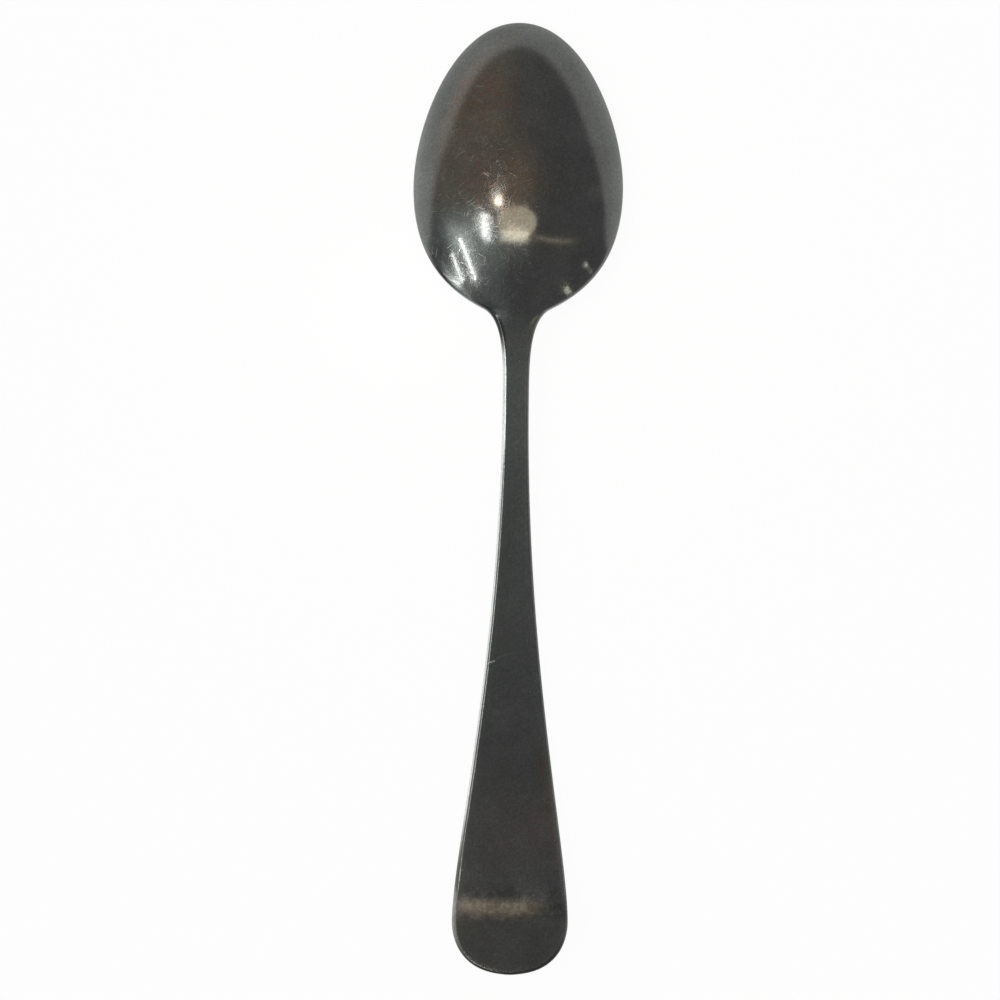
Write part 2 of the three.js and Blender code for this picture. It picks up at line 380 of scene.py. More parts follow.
class SpoonFinish(PropertyGroup):
    """Colours and wear of the spoon"""

    metal: colour("Metal", "Dark tarnished plate", (0.118, 0.123, 0.119))
    brown: colour("Brown tarnish", "Brown stain on the plate", (0.137, 0.112, 0.097))
    # Bright metal is also the colour of the painted highlights, painted reflection line and painted glint
    bright: colour("Bright metal", "Metal that scratches and rubbing lay bare", (0.41, 0.42, 0.4))
    # Bare edge is the colour of the painted highlight along the handle's left edge and its end's corner
    bare: colour("Bare edge", "Metal along the worn edge of the handle", (0.8, 0.81, 0.8))
    braze: colour("Braze", "Filler metal in the neck's joint", (0.118, 0.115, 0.104))
    roughness: share("Roughness", "Blur of the reflections on smooth metal", 0.1)
    scratch_roughness: share("Scratch roughness", "Blur that scratches add to the reflections", 0.32)


class StudioLight(PropertyGroup):
    """Light of the studio"""

    overhead: FloatProperty(name="Overhead", description="Light from above", default=0.32, min=0)
    table_white: share("Table white", "Share of plain white in the table, over what light it takes", 0.96)
    camera_height: length("Camera height", "Height of the camera over the table", 0.45)


class Wire:
    """A socket of a node tree. Sums, products and powers of wires add Math nodes to that tree."""

    def __init__(self, desk, socket):
        self.desk = desk
        self.socket = socket

    def other(self, name):
        """Another output of the same node."""
        return Wire(self.desk, self.socket.node.outputs[name])

    def __add__(self, value):
        return self.desk.math("ADD", self, value)

    def __radd__(self, value):
        return self.desk.math("ADD", value, self)

    def __sub__(self, value):
        return self.desk.math("SUBTRACT", self, value)

    def __rsub__(self, value):
        return self.desk.math("SUBTRACT", value, self)

    def __mul__(self, value):
        return self.desk.math("MULTIPLY", self, value)

    def __rmul__(self, value):
        return self.desk.math("MULTIPLY", value, self)

    def __truediv__(self, value):
        return self.desk.math("DIVIDE", self, value)

    def __rtruediv__(self, value):
        return self.desk.math("DIVIDE", value, self)

    def __pow__(self, value):
        return self.desk.math("POWER", self, value)

    def __gt__(self, value):
        return self.desk.math("GREATER_THAN", self, value)

    def __lt__(self, value):
        return self.desk.math("LESS_THAN", self, value)

    def __neg__(self):
        return self.desk.math("MULTIPLY", self, -1)

    def __abs__(self):
        return self.desk.math("ABSOLUTE", self)


class Desk:
    """Adds nodes to one node tree and wires them up."""

    def __init__(self, tree):
        self.tree = tree

    def add(self, kind, settings=None, sockets=None, output=0):
        """A new node: its settings first, then values or wires for its sockets. Gives one output."""
        node = self.tree.nodes.new(kind)
        for name, value in (settings or {}).items():
            setattr(node, name, value)
        for name, value in (sockets or {}).items():
            self.feed(node.inputs[name], value)
        return Wire(self, node.outputs[output]) if node.outputs else None

    def feed(self, socket, value):
        """Links a wire to a socket, or sets the socket's own value."""
        if isinstance(value, Wire):
            self.tree.links.new(value.socket, socket)
        else:
            socket.default_value = value

    def math(self, operation, *values):
        """A Math node on numbers."""
        return self.add("ShaderNodeMath", {"operation": operation}, dict(enumerate(values)))

    def vector(self, operation, first, second, output=0):
        """A Vector Math node on two vectors or colours."""
        return self.add("ShaderNodeVectorMath", {"operation": operation}, {0: first, 1: second}, output)

    def scale(self, vector, factor):
        """A vector or colour times a number."""
        return self.add("ShaderNodeVectorMath", {"operation": "SCALE"}, {0: vector, "Scale": factor})

    def clamp(self, value):
        """A number kept from 0 to 1."""
        return self.add("ShaderNodeClamp", None, {"Value": value, "Min": 0, "Max": 1})

    def smooth(self, value, low, high, start=0, finish=1):
        """A value that eases from start to finish while another goes from low to high."""
        ends = {"Value": value, "From Min": low, "From Max": high, "To Min": start, "To Max": finish}
        return self.add("ShaderNodeMapRange", {"interpolation_type": "SMOOTHSTEP"}, ends)

    def blend(self, factor, first, second):
        """A colour between two others."""
        return self.add("ShaderNodeMix", {"data_type": "RGBA"}, {0: factor, 6: first, 7: second}, 2)


def mix(first, second, factor):
    """A number between two others."""
    return first + (second - first) * factor


def total(values):
    """The sum of wires."""
    first, *rest = values
    for value in rest:
        first = first + value
    return first


class PlanCurve:
    """A curve of the plan between two points, along and out from the middle, with a handle at each end."""

    def __init__(self, start, start_handle, finish, finish_handle):
        leave = [a + b for a, b in zip(start, start_handle)]
        arrive = [a + b for a, b in zip(finish, finish_handle)]
        self.along, self.out = zip(start, leave, arrive, finish)

    @staticmethod
    def gain(points, t):
        """How far a coordinate has come from the curve's start."""
        start, leave, arrive, finish = points
        left = 1 - t
        pulled = (leave - start) * 3 * left**2 * t + (arrive - start) * 3 * left * t**2
        return pulled + (finish - start) * t**3

    @staticmethod
    def rate(points, t):
        """How fast a coordinate changes along the curve."""
        start, leave, arrive, finish = points
        left = 1 - t
        return ((leave - start) * left**2 + (arrive - leave) * 2 * left * t + (finish - arrive) * t**2) * 3


def outline_curves(size):
    """The spoon's outline in plan, from the tip to the handle's end."""
    half = {
        "bowl": size.bowl_width / 2,
        "waist": size.waist_width / 2,
        "stem": size.stem_width / 2,
        "blade": size.blade_width / 2,
    }
    heel = size.bowl_length - size.bowl_widest
    neck_at = size.bowl_length + size.neck_length
    blade_at = size.overall_length - size.end_rounding
    shank = blade_at - neck_at
    into_waist = heel * HEEL_PULL.waist
    from_waist = size.neck_length * FLARE_PULL.waist
    into_neck = size.neck_length * -FLARE_PULL.along
    from_blade = size.end_rounding * END_PULL.along
    # Nought as a wire, because the curves are sums of wires
    middle = size.overall_length * 0
    tip = (middle, middle)
    widest = (size.bowl_widest, half["bowl"])
    waist = (size.bowl_length, half["waist"])
    neck = (neck_at, half["stem"])
    blade = (blade_at, half["blade"])
    end = (size.overall_length, middle)
    return [
        PlanCurve(tip, (0, half["bowl"] * TIP_PULL.across), widest, (size.bowl_widest * -TIP_PULL.along, 0)),
        PlanCurve(widest, (heel * HEEL_PULL.along, 0), waist, (-into_waist, into_waist * WAIST_SLOPE)),
        PlanCurve(waist, (from_waist, from_waist * -WAIST_SLOPE), neck, (into_neck, 0)),
        PlanCurve(neck, (shank * STEM_PULL.along, 0), blade, (shank * -STEM_PULL.blade, 0)),
        PlanCurve(blade, (from_blade, 0), end, (0, half["blade"] * END_PULL.across)),
    ]


def mouth_curves(size):
    """The mouth of the bowl in plan, from its tip to its heel."""
    half = size.bowl_width / 2 - size.rim_land
    mouth_end = size.bowl_length - size.heel_land
    heel = mouth_end - size.bowl_widest
    middle = size.overall_length * 0
    tip = (size.rim_land, middle)
    widest = (size.bowl_widest, half)
    tip_length = size.bowl_widest - size.rim_land
    return [
        PlanCurve(tip, (0, half * TIP_PULL.across), widest, (tip_length * -TIP_PULL.along, 0)),
        PlanCurve(widest, (heel * MOUTH_PULL.along, 0), (mouth_end, middle), (0, half * MOUTH_PULL.across)),
    ]


def turn_height(desk, size, u):
    """Height that the turn near the end adds: its slope eases in over the turn's length and then stays."""
    into = u - size.overall_length + size.turn_from_end
    turned = desk.clamp(into / size.turn_length)
    past = desk.math("MAXIMUM", into - size.turn_length, 0)
    return (size.turn_length * (turned**3 - turned**4 / 2) + past) * TURN_SLOPE


def face_height(desk, size, u):
    """Height of the face along the middle: up to the neck, down to the crest and up to the end."""
    crest = size.overall_length - size.crest_from_end
    crest_start = crest - size.crest_flat / 2
    crest_stop = crest + size.crest_flat / 2
    to_neck = desk.math("MAXIMUM", crest_start - u, 0) / (crest_start - size.neck_bend)
    to_end = desk.math("MAXIMUM", u - crest_stop, 0) / (size.overall_length - crest_stop)
    climb = u * size.neck_rise / size.neck_bend
    fall = size.neck_rise * to_neck**ARCH_POWER
    stem = desk.math("SMOOTH_MIN", climb, fall, size.neck_easing)
    return stem + size.blade_rise * to_end**ARCH_POWER + turn_height(desk, size, u)


def swell(desk, size, u, start, finish, finish_power):
    """Swell of the bowl along its length: 0 at its start, 1 at its deepest place and 0 at its finish."""
    offset = (u - size.bowl_deepest) / (size.bowl_deepest - start)
    run = desk.clamp((u - size.bowl_deepest) / (finish - size.bowl_deepest))
    before = desk.math("MAXIMUM", 1 - offset**2, 0) ** DOME_POWER
    after = (1 + offset**2) ** -DOME_POWER * (1 - run**RUN_OUT_POWER) ** finish_power
    return mix(before, after, u > size.bowl_deepest)


def edge_round(desk, distance, radius):
    """How much a quarter-round edge takes off: its radius at the edge, and nothing that far inside it."""
    inside = desk.clamp(distance / radius)
    return radius * (1 - desk.math("SQRT", inside * (2 - inside)))


def outline_point(stretches, curves):
    """Place along, half width, and where the tip and the end close, the half width times its slope."""
    along = total([curve.gain(curve.along, t) for curve, t in zip(curves, stretches)])
    half = total([curve.gain(curve.out, t) for curve, t in zip(curves, stretches)])
    falls = []
    for curve, t in ((curves[0], stretches[0]), (curves[-1], stretches[-1])):
        falls.append(half * curve.rate(curve.out, t) / curve.rate(curve.along, t) * (t > 0) * (t < 1))
    return along, half, total(falls)


def row_stretches(desk, row):
    """How far along each stretch of rows a row lies, from 0 to 1."""
    stretches = []
    first = 0
    for count in ROWS.values():
        stretches.append(desk.clamp((row - first) / count))
        first += count
    return stretches


def edge_distance(desk, half, fall, x):
    """Distance from a point of the plan to the outline beside it."""
    steepness = desk.math("SQRT", x**2 + fall**2) * 2
    return (half**2 - x**2) / desk.math("MAXIMUM", steepness, LEAST)


def spoon_surface(desk, size, row, turn):
    """Place and edge distance of the surface's points. A turn goes over the back, then along the face."""
    stretches = row_stretches(desk, row)
    u, half, fall = outline_point(stretches, outline_curves(size))
    neck_at = size.bowl_length + size.neck_length
    blade_at = size.overall_length - size.end_rounding
    heel_end = size.bowl_length + size.heel_run_out
    handle = desk.smooth(u, size.bowl_deepest, heel_end)
    thickness = desk.smooth(u, neck_at, blade_at, size.stem_thickness, size.blade_thickness)
    plate = mix(size.rim_thickness, thickness, handle)
    rounding = mix(size.rim_rounding, size.edge_rounding, handle)

    # The back swells from a plate with rounded edges: full at the bowl, with hollow flanks at the shoulders
    side = -desk.math("COSINE", turn * math.tau)
    back_x = side * half
    across = 1 - side**2
    power = desk.smooth(u, size.bowl_deepest, size.bowl_length, DOME_POWER, SHOULDER_POWER)
    swollen = (size.bowl_height - plate) * swell(desk, size, u, 0, heel_end, HEEL_POWER)
    crown = size.blade_crown * desk.smooth(u, neck_at, blade_at)
    back_in = edge_distance(desk, half, fall, back_x)
    bulge = swollen * across**power + crown * across
    back_z = face_height(desk, size, u) + plate - edge_round(desk, back_in, rounding) + bulge

    # The face: a land inside the edge, then the bowl's hollow inside the mouth
    step = 1 / POINTS_ROUND
    side = desk.math("COSINE", desk.clamp((turn - 0.5 - step) / (0.5 - 2 * step)) * math.pi)
    mouth_end = size.bowl_length - size.heel_land
    tip, heel, neck = stretches[:3]
    tip_curve, heel_curve = mouth_curves(size)
    mouth_half = tip_curve.gain(tip_curve.out, tip) + heel_curve.gain(heel_curve.out, heel)
    in_bowl = size.rim_land + tip_curve.gain(tip_curve.along, tip) + heel_curve.gain(heel_curve.along, heel)
    past_bowl = u - size.heel_land * desk.smooth(neck, 0, 1, 1, 0)
    mouth_u = mix(in_bowl, past_bowl, neck > 0)
    land_side = math.cos(math.tau * LAND_POINTS / POINTS_ROUND)
    inward = desk.clamp((1 - abs(side)) / (1 - land_side))
    within = desk.math("SINE", desk.clamp(side / land_side / 2 + 0.5) * math.pi - math.pi / 2)
    land = half - mouth_half
    face_x = mouth_half * within + desk.math("SIGN", side) * land * (1 - inward)
    face_u = mix(u, mouth_u, inward)
    land_width = desk.math("SQRT", land**2 + (u - mouth_u) ** 2)
    face_in = mix(land_width * inward, edge_distance(desk, half, fall, face_x), handle)
    lip = desk.math("MAXIMUM", desk.math("MINIMUM", size.mouth_rounding, mouth_half / 4), LEAST)
    lip_rise = edge_round(desk, land_width * (1 - inward), lip)
    deepest = size.bowl_height - size.bowl_wall - lip
    depth = deepest * swell(desk, size, mouth_u, size.rim_land, mouth_end, DOME_POWER)
    hollow = depth * desk.math("MAXIMUM", 1 - within**2, 0) ** DOME_POWER
    face_z = face_height(desk, size, face_u) + edge_round(desk, face_in, rounding) + lip_rise + hollow

    on_face = (turn > 0.5 + step / 2) * (turn < 1 - step / 2)
    place = {
        "X": mix(back_x, face_x, on_face),
        "Y": size.overall_length / 2 - mix(u, face_u, on_face),
        "Z": mix(back_z, face_z, on_face),
    }
    return desk.add("ShaderNodeCombineXYZ", None, place), mix(back_in, face_in, on_face)


def spoon_tree(sizes, material):
    """The node tree of the spoon's surface, with an input for each size, and its inputs' identifiers."""
    tree = bpy.data.node_groups.new("spoon_surface", "GeometryNodeTree")
    tree.interface.new_socket("Geometry", in_out="OUTPUT", socket_type="NodeSocketGeometry")
    identifiers = {}
    for key, entry in sizes.bl_rna.properties.items():
        if key in SpoonSizes.__annotations__:
            item = tree.interface.new_socket(entry.name, in_out="INPUT", socket_type="NodeSocketFloat")
            item.subtype = "DISTANCE"
            identifiers[key] = item.identifier
    desk = Desk(tree)
    group = desk.add("NodeGroupInput")
    names = {key: sizes.bl_rna.properties[key].name for key in identifiers}
    size = SimpleNamespace(**{key: group.other(name) for key, name in names.items()})
    rows = sum(ROWS.values())
    grid_size = {"Size X": 1, "Size Y": 1, "Vertices X": rows + 1, "Vertices Y": POINTS_ROUND + 1}
    grid = desk.add("GeometryNodeMeshGrid", None, grid_size)
    corner = desk.add("ShaderNodeSeparateXYZ", None, {0: desk.add("GeometryNodeInputPosition")})
    position, edge = spoon_surface(desk, size, (corner + 0.5) * rows, corner.other("Y") + 0.5)
    marked = desk.add(
        "GeometryNodeStoreNamedAttribute",
        {"data_type": "FLOAT", "domain": "POINT"},
        {"Geometry": grid, "Name": "edge", "Value": edge},
    )
    shaped = desk.add("GeometryNodeSetPosition", None, {"Geometry": marked, "Position": position})
    closed = desk.add("GeometryNodeMergeByDistance", None, {"Geometry": shaped, "Distance": LEAST})
    soft = desk.add("GeometryNodeSetShadeSmooth", None, {"Geometry": closed, "Shade Smooth": True})
    real = desk.add("GeometryNodeRealizeInstances", None, {"Geometry": soft})
    finished = desk.add("GeometryNodeSetMaterial", None, {"Geometry": real, "Material": material})
    desk.add("NodeGroupOutput", None, {"Geometry": finished})
    return tree, identifiers


def forged_mesh(context, name, material):
    """The whole spoon's surface as a plain mesh, from its node tree."""
    sizes = context.scene.spoon_sizes
    tree, identifiers = spoon_tree(sizes, material)
    blank = bpy.data.objects.new(f"{name}_blank", bpy.data.meshes.new(f"{name}_blank"))
    context.scene.collection.objects.link(blank)
    modifier = blank.modifiers.new("surface", "NODES")
    modifier.node_group = tree
    for key, identifier in identifiers.items():
        modifier[identifier] = getattr(sizes, key)
    depsgraph = context.evaluated_depsgraph_get()
    evaluated = blank.evaluated_get(depsgraph)
    mesh = bpy.data.meshes.new_from_object(evaluated, preserve_all_data_layers=True, depsgraph=depsgraph)
    bpy.data.objects.remove(blank)
    bpy.data.node_groups.remove(tree)
    if not mesh.polygons:
        raise RuntimeError(f"{name}: the node tree gave no surface")
    return mesh


def scarf():
    """The middle of the braze film, and the way across it from the bowl to the handle."""
    low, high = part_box("braze_seam")
    across = Vector((0, low.z - high.z, low.y - high.y)).normalized()
    return (low + high) / 2, across


def cut_piece(mesh, cuts):
    """Keeps what lies past each cut, a point and a direction, and closes the mesh there with a face."""
    work = bmesh.new()
    work.from_mesh(mesh)
    for point, direction in cuts:
        everything = [*work.verts, *work.edges, *work.faces]
        bmesh.ops.bisect_plane(
            work, geom=everything, plane_co=point, plane_no=direction, clear_inner=True, dist=CUT_SLACK
        )
        opening = [edge for edge in work.edges if edge.is_boundary]
        cap = bmesh.ops.edgeloop_fill(work, edges=opening)
        for face in cap["faces"]:
            face.smooth = False
        for edge in opening:
            edge.smooth = False
    bmesh.ops.recalc_face_normals(work, faces=work.faces)
    work.to_mesh(mesh)
    work.free()


def add_piece(context, name, node, material, cuts):
    """Makes one piece of the spoon, cut from the whole surface, to stand for a node of the frame."""
    mesh = forged_mesh(context, name, material)
    cut_piece(mesh, cuts)
    mesh.name = name
    piece = bpy.data.objects.new(name, mesh)
    context.scene.collection.objects.link(piece)
    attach(piece, "root")
    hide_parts(node)
    return piece


def new_material(name):
    """A material with a Principled shader. Gives the material, its desk and the shader's node."""
    material = bpy.data.materials.new(name)
    material.use_nodes = True
    material.node_tree.nodes.clear()
    desk = Desk(material.node_tree)
    surface = desk.add("ShaderNodeBsdfPrincipled")
    desk.add("ShaderNodeOutputMaterial", None, {"Surface": surface})
    return material, desk, surface.socket.node


def millimetres(desk):
    """A point's own coordinates in the piece's frame, in millimetres."""
    metres = desk.add("ShaderNodeTexCoord", output="Object")
    return desk.scale(metres, 1 / MM)


def clouds(desk, point, size, detail, output="Fac"):
    """Soft noise whose patches are about so many millimetres across."""
    sockets = {"Vector": point, "Scale": 1 / size, "Detail": detail}
    return desk.add("ShaderNodeTexNoise", None, sockets, output)


def swirled(desk, point):
    """A point moved about by soft noise, so that straight marks on it bend."""
    noise = clouds(desk, point, SWIRL.size, SWIRL.detail, "Color")
    drift = desk.vector("SUBTRACT", noise, (0.5, 0.5, 0.5))
    return desk.vector("ADD", point, desk.scale(drift, SWIRL.reach))


def scratches(desk, point, angle, long, wide, kept):
    """Short straight scratches in one direction: a share of a Voronoi texture's long cells hold one each."""
    turn = {"Vector": point, "Angle": math.radians(angle)}
    turned = desk.add("ShaderNodeVectorRotate", {"rotation_type": "Z_AXIS"}, turn)
    drawn = desk.vector("DIVIDE", turned, (2 * long, 2 * wide, 1))
    near = desk.add("ShaderNodeTexVoronoi", {"voronoi_dimensions": "2D"}, {"Vector": drawn, "Scale": 1})
    chance = desk.add("ShaderNodeSeparateColor", None, {0: near.other("Color")})
    return desk.smooth(near, *SCRATCH_FADE, 1, 0) * (chance > 1 - kept) * chance.other("Green")


def stroke(desk, point, start, finish, wide):
    """One straight scratch between two places in plan, in millimetres."""
    away = desk.vector("SUBTRACT", point, (*start, 0))
    flat = desk.vector("MULTIPLY", away, IN_PLAN)
    way = Vector(finish) - Vector(start)
    along = desk.vector("DOT_PRODUCT", flat, (*way, 0), "Value")
    reached = desk.clamp(along / way.length_squared)
    gap = desk.vector("DISTANCE", flat, desk.scale((*way, 0), reached), "Value")
    return desk.smooth(gap, wide / 4, wide / 2, 1, 0)


def around(desk, point, centre, reach):
    """A soft round mask about a place in plan, in millimetres."""
    flat = desk.vector("MULTIPLY", point, IN_PLAN)
    away = desk.vector("DISTANCE", flat, (*centre, 0), "Value")
    return desk.smooth(away, reach * PLACE_CORE, reach, 1, 0)


def patches(desk, point, places):
    """Soft round patches about places in plan, each with its reach and strength."""
    masks = [around(desk, point, place, reach) * most for place, (reach, most) in places.items()]
    return desk.clamp(total(masks))


def stripe(desk, value, rise, fall):
    """1 between a rise and a fall of a value, and 0 outside them."""
    return desk.smooth(value, *rise) * desk.smooth(value, *fall, 1, 0)


def surface_place(desk):
    """What the finish goes by: a point's place, edge distance, facing and wear, and the noises there."""
    point = millimetres(desk)
    x = desk.add("ShaderNodeSeparateXYZ", None, {0: point})
    facing = desk.add("ShaderNodeTexCoord", output="Normal")
    return SimpleNamespace(
        point=point,
        bent=swirled(desk, point),
        x=x,
        y=x.other("Y"),
        up=desk.add("ShaderNodeSeparateXYZ", None, {0: facing}, "Z"),
        rim=desk.add("ShaderNodeAttribute", {"attribute_name": "edge"}, output="Fac") / MM,
        worn=patches(desk, point, WORN_PLACES),
        **{name: clouds(desk, point, *noise) for name, noise in NOISES.items()},
    )


def marks(desk, at):
    """Scratches with specks and single strokes, and hairlines: few on smooth metal, many where worn."""
    scratched = total([scratches(desk, at.bent, angle, *SCRATCH) for angle in SCRATCH_ANGLES])
    haired = total([scratches(desk, at.bent, angle, *HAIRLINE) for angle in HAIRLINE_ANGLES])
    specks = scratches(desk, at.point, 0, *SPECK)
    single = total([stroke(desk, at.bent, *ends, STROKE_WIDTH) * bright for *ends, bright in STROKES])
    scratched = scratched * (SCRATCHED.smooth + at.worn * SCRATCHED.worn)
    haired = haired * (HAIRED.smooth + at.worn * HAIRED.worn)
    return desk.clamp(scratched + specks * SPECKLED + single * (at.up > 0)), desk.clamp(haired)


def haze(desk, at, scratched, haired):
    """Haze over the metal, from 0 to 1, which blurs its reflections."""
    dust = desk.smooth(at.dust, *HAZE.dust) * (HAZE.dust_smooth + at.worn * HAZE.dust_worn)
    mottle = desk.smooth(at.mottle, *HAZE.mottle) * at.worn * HAZE.mottle_worn
    dulled = (dust + mottle) * (1 - patches(desk, at.point, SMOOTH_PLACES))
    edge = desk.smooth(at.rim, *HAZE.edge) * desk.smooth(abs(at.y - HAZE.heel_at), *HAZE.from_heel)
    return desk.clamp(dulled + scratched * HAZE.scratches + haired * HAZE.hairlines + edge)


def brown_tarnish(desk, at):
    """Share of brown tarnish: mottled, in stained places and along the blade's right side."""
    stained = BROWNED.everywhere + patches(desk, at.point, BROWN_PLACES)
    side = stripe(desk, at.rim, *BROWNED.side) * (at.x > 0) * stripe(desk, at.y, *BROWNED.side_along)
    browned = desk.smooth(at.rim, *BROWNED.inside) * stained + side
    return desk.clamp(desk.smooth(at.mottle, *BROWNED.mottle) * browned)


def rubbed_metal_and_painted_highlights(desk, at):
    """Share of bright metal: worn bare along the edge, in a line inside it and in places, plus painted
    highlights and glint.
    """
    edge = desk.smooth(at.rim, *RUBBED_AND_PAINTED_BRIGHT.edge)
    # Painted highlight: the bowl's left side lighter near its edge, on the side the light comes from
    left = desk.smooth(at.x, *RUBBED_AND_PAINTED_BRIGHT.painted_left_highlight) * desk.smooth(at.rim, *RUBBED_AND_PAINTED_BRIGHT.painted_left_highlight_rim)
    bowl_line = stripe(desk, at.rim, *RUBBED_AND_PAINTED_BRIGHT.bowl_line) * (at.y > RUBBED_AND_PAINTED_BRIGHT.bowl_line_from)
    # Painted reflection: a light line inside the blade's right edge
    painted_blade_reflection = stripe(desk, at.rim, *RUBBED_AND_PAINTED_BRIGHT.painted_blade_reflection) * (at.x > 0)
    painted_blade_reflection = painted_blade_reflection * desk.smooth(at.y, *RUBBED_AND_PAINTED_BRIGHT.painted_blade_reflection_from)
    lines = bowl_line * RUBBED_AND_PAINTED_BRIGHT.bowl_line_bright + painted_blade_reflection * RUBBED_AND_PAINTED_BRIGHT.painted_blade_reflection_bright
    return edge + left + lines + patches(desk, at.point, RUBBED_AND_PAINTED_GLINT_PLACES)


def painted_edge_highlight(desk, at):
    """Painted highlight: the handle's left edge and its end's corner in bare-metal colour where they face
    up.
    """
    strip = desk.smooth(at.rim / desk.smooth(at.y, *PAINTED_EDGE_HIGHLIGHT.width), *PAINTED_EDGE_HIGHLIGHT.fade)
    corner = desk.smooth(at.rim, *PAINTED_EDGE_HIGHLIGHT.corner_fade)
    strip = strip * stripe(desk, at.y, *PAINTED_EDGE_HIGHLIGHT.along)
    corner = corner * stripe(desk, at.y, *PAINTED_EDGE_HIGHLIGHT.corner_along)
    return desk.clamp(strip + corner) * (at.x < 0) * desk.smooth(at.up, *PAINTED_EDGE_HIGHLIGHT.facing)


def lightness(desk, at):
    """How light the metal is: cloudy and grainy, with painted light and shade along the handle and painted
    shade at some edges.
    """
    light = desk.smooth(at.cloud, *TONE.cloud) * desk.smooth(at.grain, *TONE.grain)
    # Painted light and shade along the handle
    for start, finish, change in HANDLE_PAINTED_SHADING:
        light = light * desk.smooth(at.y, start, finish, 1, change)
    # Painted shade at some edges, dimming their reflections
    dark = patches(desk, at.point, PAINTED_SHADE_PLACES) * desk.smooth(at.rim, *TONE.painted_shade_edge)
    # Painted shade along the edge of the handle's end, dimming its reflections
    end = desk.smooth(at.rim, *TONE.end_painted_shade) * desk.smooth(at.y, *TONE.end_along)
    spots = desk.smooth(at.mottle, *TONE.spots) + desk.smooth(at.cloud, *TONE.spots) - TONE.spots_middle
    spots = spots * stripe(desk, at.y, *TONE.turn_along) * TONE.spots_contrast
    return light * (1 - dark) * (1 - end) * (1 + spots)


def tarnished_metal(finish, name, base):
    """Dark tarnished plate: stained brown in places, finely scratched, worn brighter at the edges, with
    painted light and shade.
    """
    material, desk, shader = new_material(name)
    at = surface_place(desk)
    scratched, haired = marks(desk, at)
    plate = desk.blend(brown_tarnish(desk, at), (*base, 1), (*finish.brown, 1))
    # Scratches and wear, together with the painted highlights, painted reflection line and painted glint
    worn_and_painted_bright = scratched * BARED.scratches + haired * BARED.hairlines + rubbed_metal_and_painted_highlights(desk, at)
    bright = desk.blend(desk.clamp(worn_and_painted_bright), plate, (*finish.bright, 1))
    # Painted highlight on the handle's left edge, in bare-metal colour
    metal = desk.blend(painted_edge_highlight(desk, at), bright, (*finish.bare, 1))
    hazed = haze(desk, at, scratched, haired) * finish.scratch_roughness
    rough = finish.roughness + hazed + (at.cloud - 0.5) * CLOUD_ROUGHNESS
    height = at.grain * GROOVE.grain - scratched - haired * GROOVE.hairlines
    normal = desk.add("ShaderNodeBump", None, {"Strength": 1, "Distance": GROOVE.depth, "Height": height})

    desk.feed(shader.inputs["Base Color"], desk.scale(metal, lightness(desk, at)))
    desk.feed(shader.inputs["Metallic"], 1)
    desk.feed(shader.inputs["Roughness"], desk.clamp(rough))
    desk.feed(shader.inputs["Normal"], normal)
    return material


def metal_for(context, name, base):
    """The named metal, made when first asked for."""
    return bpy.data.materials.get(name) or tarnished_metal(context.scene.spoon_finish, name, base)


class SPOON_OT_add_bowl(Operator):
    """Make the dished bowl with its rim, heel and half of the neck"""

    bl_idname = "spoon.add_bowl"
    bl_label = "Add Bowl"

    def execute(self, context):
        metal = metal_for(context, "dark_plate", context.scene.spoon_finish.metal)
        middle, across = scarf()
        cuts = [(middle - across * FILM / 2, -across)]
        add_piece(context, "polished_bowl", "bowl", metal, cuts)
        return {"FINISHED"}


class SPOON_OT_add_handle(Operator):
    """Make the arched stem and the blade with its rounded end"""

    bl_idname = "spoon.add_handle"
    bl_label = "Add Handle"

    def execute(self, context):
        metal = metal_for(context, "dark_plate", context.scene.spoon_finish.metal)
        middle, across = scarf()
        cuts = [(middle + across * FILM / 2, across)]
        add_piece(context, "polished_handle", "handle", metal, cuts)
        return {"FINISHED"}


class SPOON_OT_add_braze(Operator):
    """Make the film of braze in the neck's joint"""

    bl_idname = "spoon.add_braze"
    bl_label = "Add Braze"

    def execute(self, context):
        metal = metal_for(context, "filed_filler", context.scene.spoon_finish.braze)
        middle, across = scarf()
        cuts = [(middle - across * FILM / 2, across), (middle + across * FILM / 2, -across)]
        add_piece(context, "filed_braze", "braze_seam", metal, cuts)
        return {"FINISHED"}


class SPOON_OT_add_stage(Operator):
    """Make the white table, the light and the camera"""

    bl_idname = "spoon.add_stage"
    bl_label = "Add Stage"

    def execute(self, context):
        add_table(context)
        add_light(context)
        add_camera(context)
        context.scene.view_settings.view_transform = "Standard"
        return {"FINISHED"}


def add_table(context):
    """A wide white table. The camera and reflections see it mostly plain white, with the spoon's shadow."""
    light = context.scene.spoon_light
    mesh = bpy.data.meshes.new("table")
    work = bmesh.new()
    bmesh.ops.create_grid(work, x_segments=1, y_segments=1, size=TABLE_REACH)
    work.to_mesh(mesh)
    work.free()
    table = bpy.data.objects.new("table", mesh)
    context.scene.collection.objects.link(table)
    material = bpy.data.materials.new("white_table")
    material.use_nodes = True
    material.node_tree.nodes.clear()
    desk = Desk(material.node_tree)
    lit = desk.add("ShaderNodeBsdfDiffuse", None, {"Color": (TABLE_GREY, TABLE_GREY, TABLE_GREY, 1)})
    white = desk.add("ShaderNodeEmission", None, {"Color": (1, 1, 1, 1), "Strength": 1})
    ray = desk.add("ShaderNodeLightPath", output="Is Camera Ray")
    seen = desk.clamp(ray + ray.other("Is Glossy Ray") + ray.other("Is Transmission Ray"))
    surface = desk.add("ShaderNodeMixShader", None, {0: seen * light.table_white, 1: lit, 2: white})
    desk.add("ShaderNodeOutputMaterial", None, {"Surface": surface})
    mesh.materials.append(material)


